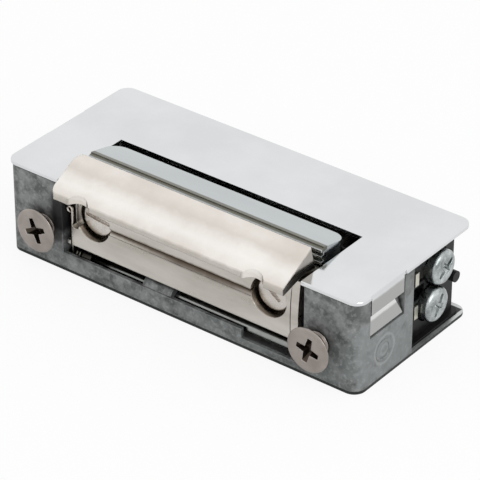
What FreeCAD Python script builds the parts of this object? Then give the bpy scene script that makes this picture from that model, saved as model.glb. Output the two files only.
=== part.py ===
import FreeCAD
import Part
import math
import os

V = FreeCAD.Vector
os.makedirs("parts", exist_ok=True)

# X is the length, Y the depth with the front at minus, Z is up from the base face, in mm
length = 66.5
depth = 28.8
height = 16.0
corner = 2.0
base_thickness = 0.5
cover_thickness = 0.6
body_inset = 0.2

# named clearances
running = 0.05
seat = 0.02
part_gap = 0.3

# plate edges
half_x = length / 2
half_y = depth / 2
body_x = half_x - body_inset
body_y = half_y - body_inset
body_top = height - cover_thickness

# keeper and its window
end_block = 11.25
keeper_half = half_x - end_block
window_gap_left = part_gap
window_gap_right = 1.4
window_left = -keeper_half - window_gap_left
window_right = keeper_half + window_gap_right
rail_top = 3.2
rail_step = 1.6
rail_step_inset = 10.0
rail_step_x = keeper_half - rail_step_inset
rail_thickness = 0.6
rail_back = -body_y + rail_thickness

# pivot axle
axle_radius = 0.8
axle_setback = 2.3
axle_y = -half_y + axle_setback
axle_z = 2.4
axle_socket = 2.3
boss_left = -7.0
boss_right = -1.6
boss_radius = 1.9

# keeper body
keeper_bottom = axle_z + boss_radius + part_gap
keeper_drop = 1.1
keeper_top = height - keeper_drop
keeper_setback = 0.8
keeper_front = -half_y + keeper_setback
front_wall = 3.3
tang_thickness = 2.2
jaw_front = keeper_front + front_wall + 0.05 + tang_thickness + 0.5
wall_back = jaw_front + 3.7
clamp_radius = 1.5
clamp_z = (keeper_bottom + keeper_top) / 2 + 0.65
wall_top = clamp_z - clamp_radius - 0.9
floor_top = wall_top - 1.2
tail_top = wall_top + 1.0
cheek = 1.35
lug_radius = axle_radius + 0.5
front_bulge = 0.3
seam_round = 0.95
seam_gap = 0.15

# clamp screws
clamp_inset = 5.4
clamp_x = keeper_half - clamp_inset
clamp_head_radius = 2.8
clamp_head_height = 0.8
counterbore_radius = 3.3
counterbore_depth = 2.5

# torsion spring on the axle
keeper_spring_wire = 0.25
keeper_leg_inset = 0.95
keeper_leg_drop = 4.1
keeper_eye = 0.45

# toothed jaw and lip
jaw_half = keeper_half - 0.1
jaw_rise = 2.0
jaw_top_front = height + jaw_rise
jaw_slope = math.radians(12.5)
jaw_step_drop = 3.0
jaw_step_z = height - jaw_step_drop
bar_depth = 5.95
jaw_back = jaw_front + bar_depth
tooth_pitch = 1.0
tooth_depth = 0.6
lip_half = keeper_half - 0.1
tang_half = keeper_half - cheek - 0.1
lip_reach = 3.1
lip_tip_y = -half_y - lip_reach
lip_tip_z = height - 1.55
lip_tip_thickness = 1.1
lip_nose_round = 0.4
lip_back_setback = 4.0
lip_back_y = -half_y + lip_back_setback
lip_rise = 3.3
lip_back_z = height + lip_rise
lip_heel_setback = 5.1
lip_heel_y = -half_y + lip_heel_setback
lip_heel_z = height - 0.6
notch_x = clamp_x - 0.2
notch_radius = 2.3
notch_depth = 1.35
tab_step = 0.25
lip_under_depth = 3.4
lip_under_drop = 0.25
lip_left_round = 1.6
lip_right_round = 0.35

# fixing screws, M4 countersunk
fixing_z = 6.65
fixing_radius = 2.0
fixing_head_radius = 3.65
fixing_clear = part_gap
fixing_x = keeper_half + fixing_head_radius + fixing_clear
standoff_left = 0.3
standoff_right = 0.7
fixing_land = 0.3
fixing_length = 8.5
fixing_hole_depth = 7.4
cross_half = 2.0
cross_width = 0.84

# small screws that hold the base plate
base_screw_head = 1.6
base_screw_radius = 0.95
base_screw_length = 3.35
base_screw_slot = 0.4

# clips of the cover
clip_thickness = 0.5
clip_width = 8.0
clip_right_setback = 7.3
clip_right_y = -half_y + clip_right_setback
clip_left_y = -0.1
clip_straight = 3.5
clip_step = 1.1
clip_drop = 7.1
clip_end_z = height - clip_drop
clip_flare = 0.9
clip_inset = 0.2

# mechanism cavity and terminal pocket
pocket_width = 8.65
pocket_left = half_x - pocket_width
pocket_depth = 15.0
pocket_front = half_y - pocket_depth
cavity_inset = 3.65
cavity_left = -half_x + cavity_inset
cavity_wall = 2.6
cavity_right = pocket_left - cavity_wall
cavity_floor = 2.0
cutout_half = keeper_half + 0.85
bar_room = 2.3
cutout_back = jaw_back + bar_room

# round mark on the right end face
mark_setback = 6.45
mark_y = -half_y + mark_setback
mark_z = 5.0
mark_radius = 1.8
mark_line = 0.45

# locking lever, from its pin to the hook at its tip
lever_pin_inset = 4.0
lever_pin_x = cavity_left + lever_pin_inset
lever_pin_y = cutout_back + 2.3
lever_pin_radius = 1.25
lever_hub = 3.0
lever_bottom = wall_top - 0.4
lever_thickness = 2.4
lever_half_width = 1.5
lever_boss = 2.4
lever_reach = 17.3
nose_offset = 8.6
nose_left = lever_pin_x + nose_offset
nose_width = 3.4
nose_right = nose_left + nose_width
hold_y = jaw_back - 0.3
hold_z = wall_top
hold_angle = math.radians(115.0)
hook_angle = math.radians(66.0)
hook_x = lever_pin_x + lever_reach
hook_y = lever_pin_y + 1.0
lever_spring_offset = 5.6
lever_spring_x = lever_pin_x + lever_spring_offset
lever_spring_mean = 1.4
lever_spring_wire = 0.22

# armature, hinged on the yoke's back leg
armature_thickness = 1.4
armature_gap = 0.35
hook_length = 3.1
armature_x = hook_x + hook_length
armature_front = cutout_back + 0.2
armature_spring_mean = 0.75
armature_spring_wire = 0.16

# magnet
yoke_thickness = 1.2
yoke_arm = 1.4
back_wall = 2.0
winding_gap = 0.4
flange_rim = 0.35
flange_thickness = 0.9
winding_room_y = (body_y - back_wall - 0.1 - yoke_thickness - winding_gap - cutout_back) / 2
winding_room_z = (body_top - cavity_floor - 0.1) / 2 - flange_rim
winding_radius = min(winding_room_y, winding_room_z)
flange = 2 * (winding_radius + flange_rim)
coil_spare = body_top - cavity_floor - flange
coil_y = cutout_back + winding_radius
coil_z = cavity_floor + flange / 2 + 0.26 * coil_spare
iron_bottom = coil_z - winding_radius
iron_top = coil_z + winding_radius
yoke_front = coil_y + winding_radius + winding_gap
yoke_back = yoke_front + yoke_thickness
cavity_back = yoke_back + 0.1
core_radius = 0.51 * winding_radius
armature_travel = 2.2
bobbin_left = armature_x + armature_travel
coil_end_room = 3.1
bobbin_right = cavity_right - coil_end_room
bobbin_wall = 0.65
core_left = bobbin_left - 0.5
rivet_radius = 1.6

# terminals, a pair of screws in the room between sheet and cover
block_inset = 1.95
block_right = half_x - block_inset
block_setback = 2.2
block_back = half_y - block_setback
sheet_thickness = 0.3
sheet_top = base_thickness + sheet_thickness
terminal_radius = 2.8
terminal_head = 1.7
terminal_shaft = 1.45
terminal_pitch = 5.75
terminal_spare = body_top - sheet_top - 2 * terminal_radius - terminal_pitch
terminal_low = sheet_top + terminal_radius + 0.55 * terminal_spare
terminal_z = (terminal_low, terminal_low + terminal_pitch)
terminal_setback = 6.9
terminal_shift = 1.5
terminal_y = (half_y - terminal_setback - terminal_shift, half_y - terminal_setback)
terminal_slot = 0.72
tag_thickness = 0.6
tag_height = 2.2
tag_reach = 4.1
tag_front = terminal_y[0] - tag_reach
peg_radius = 0.9
peg_setback = 4.1
peg_y = half_y - peg_setback
peg_z = sum(terminal_z) / 2


def box(x0, x1, y0, y1, z0, z1):
    return Part.makeBox(x1 - x0, y1 - y0, z1 - z0, V(x0, y0, z0))


def rod_x(radius, x0, x1, y, z):
    return Part.makeCylinder(radius, x1 - x0, V(x0, y, z), V(1, 0, 0))


def rod_y(radius, x, y0, y1, z):
    return Part.makeCylinder(radius, y1 - y0, V(x, y0, z), V(0, 1, 0))


def rod_z(radius, x, y, z0, z1):
    return Part.makeCylinder(radius, z1 - z0, V(x, y, z0), V(0, 0, 1))


def cone_y(r0, r1, x, y0, y1, z):
    return Part.makeCone(r0, r1, y1 - y0, V(x, y0, z), V(0, 1, 0))


def cone_z(r0, r1, x, y, z0, z1):
    return Part.makeCone(r0, r1, z1 - z0, V(x, y, z0), V(0, 0, 1))


def prism_x(points, x0, x1):
    corners = [V(x0, y, z) for y, z in points]
    face = Part.Face(Part.makePolygon(corners + corners[:1]))
    return face.extrude(V(x1 - x0, 0, 0))


def prism_y(points, y0, y1):
    corners = [V(x, y0, z) for x, z in points]
    face = Part.Face(Part.makePolygon(corners + corners[:1]))
    return face.extrude(V(0, y1 - y0, 0))


def prism_z(points, z0, z1):
    corners = [V(x, y, z0) for x, y in points]
    face = Part.Face(Part.makePolygon(corners + corners[:1]))
    return face.extrude(V(0, 0, z1 - z0))


def is_along(edge, axis):
    if len(edge.Vertexes) < 2:
        return False
    ends = edge.Vertexes[-1].Point - edge.Vertexes[0].Point
    if ends.Length < 1e-6:
        return False
    return abs(ends.normalize().dot(axis)) > 0.9999


def near(value, target):
    return abs(value - target) < 0.01


def rounded_sheet(hx, hy, z0, z1, radius):
    plate = box(-hx, hx, -hy, hy, z0, z1)
    uprights = [e for e in plate.Edges if is_along(e, V(0, 0, 1))]
    return plate.makeFillet(radius, uprights)


def fuse(first, *others):
    return first.multiFuse(list(others)).removeSplitter()


def cut(first, *others):
    return first.cut(list(others))


def save(shape, node):
    if len(shape.Solids) == 1:
        shape = shape.Solids[0]
    shape.exportStep("parts/" + node + ".step")
    print(node, len(shape.Solids), shape.isValid(), round(shape.Volume, 1))


def clip_profile(side):
    # outer line of the clip from the cover down to the flared end, in X and Z
    outer = half_x - clip_inset
    z1 = height - clip_straight
    z2 = z1 - clip_step
    points = [
        (outer, z1),
        (outer - clip_step, z2),
        (outer - clip_step + clip_flare, clip_end_z),
        (outer - clip_step + clip_flare - clip_thickness, clip_end_z),
        (outer - clip_step - clip_thickness, z2 - 0.05),
        (outer - clip_thickness, z1 + 0.15),
    ]
    return [(side * x, z) for x, z in points]


def make_cover():
    plate = rounded_sheet(half_x, half_y, body_top, height, corner)
    rim = [e for e in plate.Edges if all(near(v.Z, height) for v in e.Vertexes)]
    plate = plate.makeFillet(0.2, rim)
    opening = box(-cutout_half, cutout_half, -half_y - 1, cutout_back, body_top - 1, height + 1)
    plate = plate.cut(opening)
    for side, y in ((1, clip_right_y), (-1, clip_left_y)):
        y0 = y - clip_width / 2
        y1 = y + clip_width / 2
        outer = half_x - clip_inset
        xs = sorted((side * outer, side * (half_x + 1)))
        relief = box(xs[0], xs[1], y0 - 0.4, y1 + 0.4, body_top - 1, height + 1)
        plate = plate.cut(relief)
        xs = sorted((side * outer, side * (outer - clip_thickness)))
        drop = box(xs[0], xs[1], y0, y1, height - clip_straight, height)
        flare = prism_y(clip_profile(side), y0, y1)
        plate = fuse(plate, drop, flare)
        bend = [e for e in plate.Edges if is_along(e, V(0, 1, 0))
                and all(near(v.X, side * outer) and near(v.Z, height) for v in e.Vertexes)
                and near(e.Length, clip_width)]
        if bend:
            plate = plate.makeFillet(0.45, bend)
    return plate


def base_screw_places():
    front = -half_y + 3.4
    back = half_y - 3.9
    wall = (cavity_right + pocket_left) / 2
    return [(-half_x + 3.75, front), (half_x - 3.75, front), (-half_x + 1.9, back), (wall, back)]


def make_base_screws():
    solids = []
    for x, y in base_screw_places():
        head = cone_z(base_screw_head, base_screw_radius, x, y, 0.05, base_thickness + 0.15)
        shank = rod_z(base_screw_radius, x, y, base_thickness + 0.15, base_screw_length + 0.05)
        half = base_screw_slot / 2
        slot = box(x - 2, x + 2, y - half, y + half, 0, 0.3)
        solids.append(fuse(head, shank).cut(slot))
    return Part.makeCompound(solids)


def base_screw_holes():
    holes = []
    for x, y in base_screw_places():
        wide = base_screw_head + seat + 0.05
        narrow = base_screw_radius + seat
        holes.append(cone_z(wide, narrow, x, y, 0, base_thickness + 0.15))
        holes.append(rod_z(narrow, x, y, 0.1, base_screw_length + 0.25))
    return holes


def make_base_plate():
    plate = rounded_sheet(body_x, body_y, 0, base_thickness, corner)
    return cut(plate, *base_screw_holes())


def make_housing():
    body = rounded_sheet(body_x, body_y, base_thickness, body_top, corner)
    top = height + 1
    pocket = box(window_left, window_right, rail_back, jaw_back + 0.5, 0, top)
    rear = box(-cutout_half - 0.05, cutout_half + 0.05, jaw_front - 1.7, cutout_back + 0.4, 0, top)
    window = box(window_left, window_right, -half_y - 1, rail_back + 1, rail_top, top)
    step = box(rail_step_x, window_right, -half_y - 1, rail_back + 1, rail_top - rail_step, top)
    magnet = box(cavity_left, cavity_right, cutout_back, cavity_back, cavity_floor, top)
    side = box(cavity_left, window_left + 1, jaw_front + 1.55, cutout_back + 1, cavity_floor, top)
    terminals = box(pocket_left, half_x + 1, pocket_front, half_y + 1, 0, top)
    cuts = [pocket, rear, window, step, magnet, side, terminals]
    for side_x, y in ((1, clip_right_y), (-1, clip_left_y)):
        depth_x = clip_inset + clip_step + clip_thickness + 0.15
        xs = sorted((side_x * (half_x - depth_x), side_x * (half_x + 1)))
        y0 = y - clip_width / 2 - 0.25
        y1 = y + clip_width / 2 + 0.25
        cuts.append(box(xs[0], xs[1], y0, y1, clip_end_z - 0.3, top))
    body = cut(body, *cuts)
    knuckle = rod_x(boss_radius, boss_left, boss_right, axle_y, axle_z)
    foot = box(boss_left, boss_right, rail_back - 0.3, axle_y + boss_radius, base_thickness, axle_z)
    lever_post = rod_z(lever_boss, lever_pin_x, lever_pin_y, cavity_floor - 0.5, lever_bottom - 0.1)
    body = fuse(body, knuckle, foot, lever_post)
    ring = rod_x(mark_radius, body_x - 0.5, body_x + 0.12, mark_y, mark_z)
    ring = ring.cut(rod_x(mark_radius - mark_line, body_x - 1, body_x + 1, mark_y, mark_z))
    body = body.fuse(ring)
    holes = base_screw_holes()
    holes.append(rod_x(axle_radius + seat, window_left - axle_socket, window_right + axle_socket, axle_y, axle_z))
    holes.append(rod_z(lever_pin_radius + seat, lever_pin_x, lever_pin_y, 0, lever_bottom))
    for side_x in (-1, 1):
        x = side_x * fixing_x
        holes.append(rod_y(fixing_radius + seat, x, -half_y, -body_y + fixing_hole_depth, fixing_z))
    return cut(body, *holes).removeSplitter()


def make_axle():
    x0 = window_left - axle_socket + 0.1
    x1 = window_right + axle_socket - 0.1
    shaft = rod_x(axle_radius, x0, x1, axle_y, axle_z)
    ends = [e for e in shaft.Edges if e.Curve.TypeId == "Part::GeomCircle"]
    return shaft.makeChamfer(0.2, ends)


def hold_line(z, offset):
    # Y of the slanted holding face at a height, moved along its normal
    nx = math.sin(hold_angle)
    nz = -math.cos(hold_angle)
    y0 = hold_y + offset * nx
    z0 = hold_z + offset * nz
    return y0 + (z - z0) * math.cos(hold_angle) / math.sin(hold_angle)


def make_keeper_body():
    z0 = keeper_bottom
    z1 = keeper_top
    y0 = keeper_front
    y1 = keeper_front + front_wall
    middle = (z0 + z1) / 2
    corners = [V(0, y0, z0), V(0, y1, z0), V(0, y1, z1), V(0, y0 + 0.4, z1)]
    edges = [Part.makeLine(corners[i], corners[i + 1]) for i in range(3)]
    edges.append(Part.Arc(corners[3], V(0, y0 - front_bulge + 0.2, middle), corners[0]).toShape())
    wall = Part.Face(Part.Wire(edges)).extrude(V(2 * keeper_half, 0, 0))
    wall.translate(V(-keeper_half, 0, 0))
    sill = [e for e in wall.Edges if is_along(e, V(1, 0, 0))
            and all(near(v.Z, z0) and near(v.Y, y0) for v in e.Vertexes)]
    wall = wall.makeFillet(0.3, sill)
    floor = box(-keeper_half, keeper_half, y1 - 0.5, wall_back, z0, floor_top)
    shelf = box(-keeper_half, keeper_half, jaw_front + 0.05, wall_back, z0, wall_top)
    cheeks = []
    for x0, x1 in ((-keeper_half, -keeper_half + cheek), (keeper_half - cheek, keeper_half)):
        cheeks.append(box(x0, x1, y1 - 0.5, jaw_front - tooth_depth - 0.1, z0, z1))
    lugs = []
    for x0, x1 in ((-keeper_half + 2.5, -keeper_half + 4.2), (keeper_half - cheek, keeper_half)):
        ring = rod_x(lug_radius, x0, x1, axle_y, axle_z)
        web = box(x0, x1, axle_y - 0.2, axle_y + lug_radius, axle_z, z0 + 0.5)
        lugs.append(ring)
        lugs.append(web)
    tail = prism_x([
        (wall_back - 0.5, z0),
        (hold_line(z0, 0) - 0.3, z0),
        (hold_line(z0 + 0.6, 0), z0 + 0.6),
        (hold_line(tail_top, 0), tail_top),
        (wall_back - 0.5, tail_top),
    ], nose_left + 0.2, nose_right - 0.2)
    body = fuse(wall, floor, shelf, tail, *(cheeks + lugs))
    leg_room = box(-keeper_half - 1, -keeper_half + 1.25, y0 - 1, y0 + 1.0, z0 - 1, z1 + 1)
    leg_room = leg_room.cut(box(-keeper_half, -keeper_half + 0.6, y0 + 0.15, y0 + 1.0, z0, z0 + 0.7))
    groove = box(-keeper_half + 1.2, -keeper_half + 2.6, y0 - 1, y0 + 1.1, z1 - 6.2, z1 + 1)
    groove_end = rod_y(0.7, -keeper_half + 1.9, y0 - 1, y0 + 1.1, z1 - 6.2)
    seam = box(keeper_half - cheek - 0.12, keeper_half - cheek, y0 - 1, y0 + 0.25, z0 - 1, z1 + 1)
    seam_z = clamp_z - seam_gap - seam_round
    joint = box(-clamp_x, clamp_x, y0 - 1, y0 + seam_round, seam_z, clamp_z)
    joint = joint.cut(rod_x(seam_round, -clamp_x - 1, clamp_x + 1, y0 + seam_round, seam_z))
    cuts = [leg_room, groove, groove_end, seam, joint]
    cuts.append(rod_x(axle_radius + running, -keeper_half - 1, keeper_half + 1, axle_y, axle_z))
    for side in (-1, 1):
        x = side * clamp_x
        cuts.append(rod_y(clamp_radius + running, x, y0 - 1, wall_back - 0.6, clamp_z))
        cuts.append(rod_y(counterbore_radius, x, y0 - 1, y0 + counterbore_depth, clamp_z))
    body = cut(body, *cuts)
    return body


def tooth_outline(y_root, y_tip, z0, count, phase):
    # zigzag of trapezoid teeth going up in Z, as Y and Z pairs
    points = []
    for i in range(count):
        base = z0 + (i + phase) * tooth_pitch
        points.append((y_root, base))
        points.append((y_tip, base + 0.18 * tooth_pitch))
        points.append((y_tip, base + 0.5 * tooth_pitch))
        points.append((y_root, base + 0.68 * tooth_pitch))
    return points


def make_backing_bar():
    tip = jaw_front - tooth_depth
    count = int((jaw_top_front - wall_top) / tooth_pitch)
    teeth = tooth_outline(jaw_front, tip, wall_top, count, 0.1)
    reach = jaw_back - jaw_front
    top_back = jaw_top_front - reach * math.tan(jaw_slope)
    profile = [(jaw_front + 0.6, wall_top), (jaw_front, wall_top)] + teeth
    profile += [(jaw_front, jaw_top_front), (jaw_back, top_back)]
    profile += [(jaw_back, jaw_step_z + 0.6), (jaw_back - 0.6, jaw_step_z)]
    profile += [(wall_back - 0.5, jaw_step_z), (wall_back - 0.5, wall_top)]
    bar = prism_x(profile, -jaw_half, jaw_half)
    for side in (-1, 1):
        inner = keeper_half - cheek - 0.15
        xs = sorted((side * inner, side * (jaw_half + 1)))
        bar = bar.cut(box(xs[0], xs[1], jaw_front - 2, jaw_back + 1, wall_top - 1, jaw_step_z))
    uprights = [e for e in bar.Edges if is_along(e, V(0, 0, 1)) and e.Length > 2
                and all(near(v.Y, jaw_back) for v in e.Vertexes)]
    bar = bar.makeFillet(2.4, uprights)
    for side in (-1, 1):
        bar = bar.cut(rod_y(clamp_radius + seat, side * clamp_x, jaw_front - 2, wall_back + 1, clamp_z))
    return bar


def lip_part(tip, x0, x1):
    # a length of the wedge with a rounded nose whose tip stands at the given Y
    rise = (lip_back_z - lip_tip_z - lip_tip_thickness) / (lip_back_y - lip_tip_y)
    part = prism_x([
        (tip, lip_tip_z),
        (tip, lip_tip_z + lip_tip_thickness + (tip - lip_tip_y) * rise),
        (lip_back_y, lip_back_z),
        (lip_heel_y, lip_heel_z),
        (lip_heel_y - lip_under_depth, lip_heel_z + lip_under_drop),
    ], x0, x1)
    nose = [e for e in part.Edges if is_along(e, V(1, 0, 0)) and all(near(v.Y, tip) for v in e.Vertexes)]
    return part.makeFillet(lip_nose_round, nose)


def lip_outline():
    # the wedge's outline from above, with its left corners rounder than the right ones
    plan = box(-lip_half, lip_half, lip_tip_y, lip_heel_y + 3, lip_tip_z - 1, lip_back_z + 1)
    for end, radius in ((-lip_half, lip_left_round), (lip_half, lip_right_round)):
        front = [e for e in plan.Edges if is_along(e, V(0, 0, 1))
                 and all(near(v.X, end) and near(v.Y, lip_tip_y) for v in e.Vertexes)]
        plan = plan.makeFillet(radius, front)
    return plan


def lip_corners(head, end):
    # the upright edge of one end face at the top of the slope
    found = []
    for edge in head.Edges:
        middle = edge.CenterOfMass
        if near(middle.x, end) and middle.y > lip_back_y - 0.1 and middle.z > lip_heel_z + 1:
            found.append(edge)
    return found


def make_lip():
    middle = notch_x - notch_radius * 0.9
    parts = [lip_part(lip_tip_y, -lip_half, -middle), lip_part(lip_tip_y, middle, lip_half)]
    head = fuse(lip_part(lip_tip_y + tab_step, -middle, middle), *parts)
    head = head.common(lip_outline()).removeSplitter()
    cuts = []
    for side in (-1, 1):
        x = side * notch_x
        centre = lip_tip_y + notch_depth - notch_radius
        cuts.append(rod_z(notch_radius, x, centre, lip_tip_z - 2, lip_back_z))
    head = cut(head, *cuts).removeSplitter()
    head = head.makeFillet(lip_left_round, lip_corners(head, -lip_half))
    head = head.makeFillet(lip_right_round, lip_corners(head, lip_half))
    y0 = keeper_front + front_wall + 0.05
    y_root = jaw_front - tooth_depth - 0.05
    z0 = floor_top + 0.1
    count = int((lip_heel_z - wall_top) / tooth_pitch)
    teeth = tooth_outline(y_root, jaw_front - 0.05, wall_top, count, 0.6)
    teeth = [p for p in teeth if p[1] < lip_heel_z - 0.1]
    profile = [(y0, z0), (y_root, z0)] + teeth
    profile += [(y_root, lip_heel_z), (y_root - 0.6, lip_heel_z + 0.6), (y0, lip_heel_z + 0.6)]
    tang = prism_x(profile, -tang_half, tang_half)
    slots = []
    for side in (-1, 1):
        x = side * clamp_x
        radius = clamp_radius + 0.15
        slots.append(rod_y(radius, x, y0 - 1, jaw_front + 1, clamp_z - 1.5))
        slots.append(rod_y(radius, x, y0 - 1, jaw_front + 1, clamp_z + 1.5))
        slots.append(box(x - radius, x + radius, y0 - 1, jaw_front + 1, clamp_z - 1.5, clamp_z + 1.5))
    lip = fuse(head, tang)
    return cut(lip, *slots)


def make_clamp_screw(side):
    x = side * clamp_x
    seat_y = keeper_front + counterbore_depth
    head = rod_y(clamp_head_radius, x, seat_y - clamp_head_height, seat_y, clamp_z)
    face = [e for e in head.Edges if all(near(v.Y, seat_y - clamp_head_height) for v in e.Vertexes)
            and e.Curve.TypeId == "Part::GeomCircle"]
    head = head.makeFillet(0.25, face)
    shank = rod_y(clamp_radius, x, seat_y - 0.2, wall_back - 0.8, clamp_z)
    slot = box(-3, 3, seat_y - clamp_head_height - 1, seat_y - clamp_head_height + 0.5, -0.3, 0.3)
    slot.rotate(V(0, 0, 0), V(0, 1, 0), 38 if side > 0 else 70)
    slot.translate(V(x, 0, clamp_z))
    socket = rod_y(0.8, x, seat_y - clamp_head_height - 1, seat_y - clamp_head_height + 0.65, clamp_z)
    return cut(fuse(head, shank), slot, socket)


def wire_section(mean, wire):
    # eight-sided section of a spring wire, upright at its distance from the coil's axis
    points = []
    for i in range(8):
        angle = math.radians(22.5 + 45 * i)
        points.append(V(mean + wire * math.cos(angle), 0, wire * math.sin(angle)))
    return Part.makePolygon(points + points[:1])


def coil_spring(mean, wire, span, turns, placement):
    helix = Part.makeHelix(span / turns, span, mean)
    spring = Part.Wire(helix.Edges).makePipeShell([wire_section(mean, wire)], True, True)
    spring.Placement = placement
    return spring


def make_keeper_spring():
    wire = keeper_spring_wire
    mean = axle_radius + 0.1 + wire
    left = -keeper_half + keeper_leg_inset
    turns = 2.25
    span = turns * (2 * wire + 0.04)
    # the coil runs along X and starts at the axle's front, turning down
    turned = FreeCAD.Matrix(0, 0, 1, left, -1, 0, 0, axle_y, 0, -1, 0, axle_z, 0, 0, 0, 1)
    coil = coil_spring(mean, wire, span, turns, FreeCAD.Placement(turned))
    leg_top = keeper_top - keeper_leg_drop
    # the leg runs up and bends into an open eye, as one wire
    y = axle_y - mean
    start = V(left, y, axle_z - 0.35)
    rise = Part.makeLine(start, V(left, y, leg_top))
    middle = V(left - keeper_eye, y, leg_top)
    bend = Part.makeCircle(keeper_eye, middle, V(0, -1, 0), 0, 300)
    section = wire_section(0, wire - 0.02)
    section.rotate(V(0, 0, 0), V(1, 0, 0), 90)
    section.translate(start)
    leg = Part.Wire([rise, bend]).makePipeShell([section], True, True)
    foot = Part.makeCylinder(wire - 0.02, 3.6, V(left + span, axle_y - 0.35, axle_z - mean), V(0, 1, -0.09))
    return fuse(coil, leg, foot)


def make_fixing_screw(side):
    x = side * fixing_x
    cone = fixing_head_radius - fixing_radius
    face = -body_y - cone - fixing_land - (standoff_right if side > 0 else standoff_left)
    land = rod_y(fixing_head_radius, x, face, face + fixing_land, fixing_z)
    head = cone_y(fixing_head_radius, fixing_radius, x, face + fixing_land, face + fixing_land + cone, fixing_z)
    shank = rod_y(fixing_radius, x, face + fixing_land + cone - 0.2, face + fixing_length, fixing_z)
    tip = cone_y(fixing_radius, fixing_radius - 0.5, x, face + fixing_length, face + fixing_length + 0.5, fixing_z)
    screw = fuse(land, head, shank, tip)
    cuts = []
    for turn in (0, 90):
        blade = box(-cross_half, cross_half, face - 0.1, face + 1.0, -cross_width / 2, cross_width / 2)
        blade.rotate(V(0, 0, 0), V(0, 1, 0), turn + (12 if side < 0 else -8))
        blade.translate(V(x, 0, fixing_z))
        cuts.append(blade)
    cuts.append(cone_y(1.1, 0.4, x, face - 0.1, face + 1.9, fixing_z))
    return cut(screw, *cuts)


def make_lever():
    z0 = lever_bottom
    z1 = lever_bottom + lever_thickness
    y0 = lever_pin_y - lever_half_width
    y1 = lever_pin_y + lever_half_width
    slope = math.cos(hook_angle) / math.sin(hook_angle)
    tip_low = hook_x - (y0 - hook_y) * slope
    tip_high = hook_x - (y1 - hook_y) * slope
    arm = prism_z([(lever_pin_x, y0), (tip_low, y0), (tip_high, y1), (lever_pin_x, y1)], z0, z1)
    hub = rod_z(lever_hub, lever_pin_x, lever_pin_y, z0, z1)
    nose = prism_x([
        (hold_line(z0, part_gap), z0),
        (y0 + 0.5, z0),
        (y0 + 0.5, z1),
        (hold_line(z1, part_gap), z1),
    ], nose_left, nose_right)
    lever = fuse(arm, hub, nose)
    bore = rod_z(lever_pin_radius + running, lever_pin_x, lever_pin_y, z0 - 1, z1 + 1)
    return lever.cut(bore)


def make_lever_pin():
    return rod_z(lever_pin_radius, lever_pin_x, lever_pin_y, base_thickness + 0.05, body_top - 0.3)


def make_lever_spring():
    y0 = lever_pin_y + lever_half_width + 0.3
    y1 = cavity_back - 0.3
    start = V(lever_spring_x, y0, lever_bottom + lever_thickness / 2)
    placement = FreeCAD.Placement(start, FreeCAD.Rotation(V(0, 0, 1), V(0, 1, 0)))
    return coil_spring(lever_spring_mean, lever_spring_wire, y1 - y0, 6.0, placement)


def make_armature():
    back = cavity_back - part_gap
    x1 = armature_x
    x0 = armature_x - armature_thickness
    plate = box(x0, x1, armature_front, back, iron_bottom + 0.1, iron_top - 0.1)
    slope = math.cos(hook_angle) / math.sin(hook_angle)
    shift = 0.25 / math.sin(hook_angle)
    y0 = lever_pin_y + 0.2
    y1 = y0 + 3.0
    hook = prism_z([
        (x0 + 0.3, y0),
        (hook_x - (y0 - hook_y) * slope + shift, y0),
        (hook_x - (y1 - hook_y) * slope + shift, y1),
        (x0 + 0.3, y1),
    ], lever_bottom, lever_bottom + lever_thickness)
    return fuse(plate, hook)


def make_armature_spring():
    wire = armature_spring_wire
    span = bobbin_left - armature_x - 2 * wire - 0.04
    start = V(armature_x + wire + 0.02, armature_front + 1.2, iron_bottom + 1.6)
    placement = FreeCAD.Placement(start, FreeCAD.Rotation(V(0, 0, 1), V(1, 0, 0)))
    return coil_spring(armature_spring_mean, wire, span, 3.0, placement)


def make_bobbin():
    y0 = coil_y - flange / 2
    y1 = coil_y + flange / 2
    z0 = cavity_floor + 0.05
    z1 = coil_z + flange / 2
    tube = rod_x(core_radius + seat + bobbin_wall, bobbin_left, bobbin_right, coil_y, coil_z)
    left = box(bobbin_left, bobbin_left + flange_thickness, y0, y1, z0, z1)
    right = box(bobbin_right - flange_thickness, bobbin_right, y0, y1, z0, z1)
    spool = fuse(tube, left, right)
    return spool.cut(rod_x(core_radius + seat, bobbin_left - 1, bobbin_right + 1, coil_y, coil_z))


def make_winding():
    x0 = bobbin_left + flange_thickness + 0.02
    x1 = bobbin_right - flange_thickness - 0.02
    outer = rod_x(winding_radius, x0, x1, coil_y, coil_z)
    return outer.cut(rod_x(core_radius + 2 * seat + bobbin_wall, x0 - 1, x1 + 1, coil_y, coil_z))


def make_core():
    arm = bobbin_right + 0.1
    core = rod_x(core_radius, core_left, arm, coil_y, coil_z)
    rivet = rod_x(rivet_radius, arm - 0.1, arm + yoke_arm, coil_y, coil_z)
    dome = rod_x(rivet_radius + 0.6, arm + yoke_arm, arm + yoke_arm + 0.5, coil_y, coil_z)
    return fuse(core, rivet, dome)


def make_yoke():
    arm = bobbin_right + 0.1
    leg = box(armature_x + armature_gap, arm + yoke_arm, yoke_front, yoke_back, iron_bottom, iron_top)
    plate = box(arm, arm + yoke_arm, cutout_back - 0.05, yoke_back, iron_bottom, iron_top)
    yoke = fuse(leg, plate)
    return yoke.cut(rod_x(rivet_radius + seat, arm - 1, arm + yoke_arm + 1, coil_y, coil_z))


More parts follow.
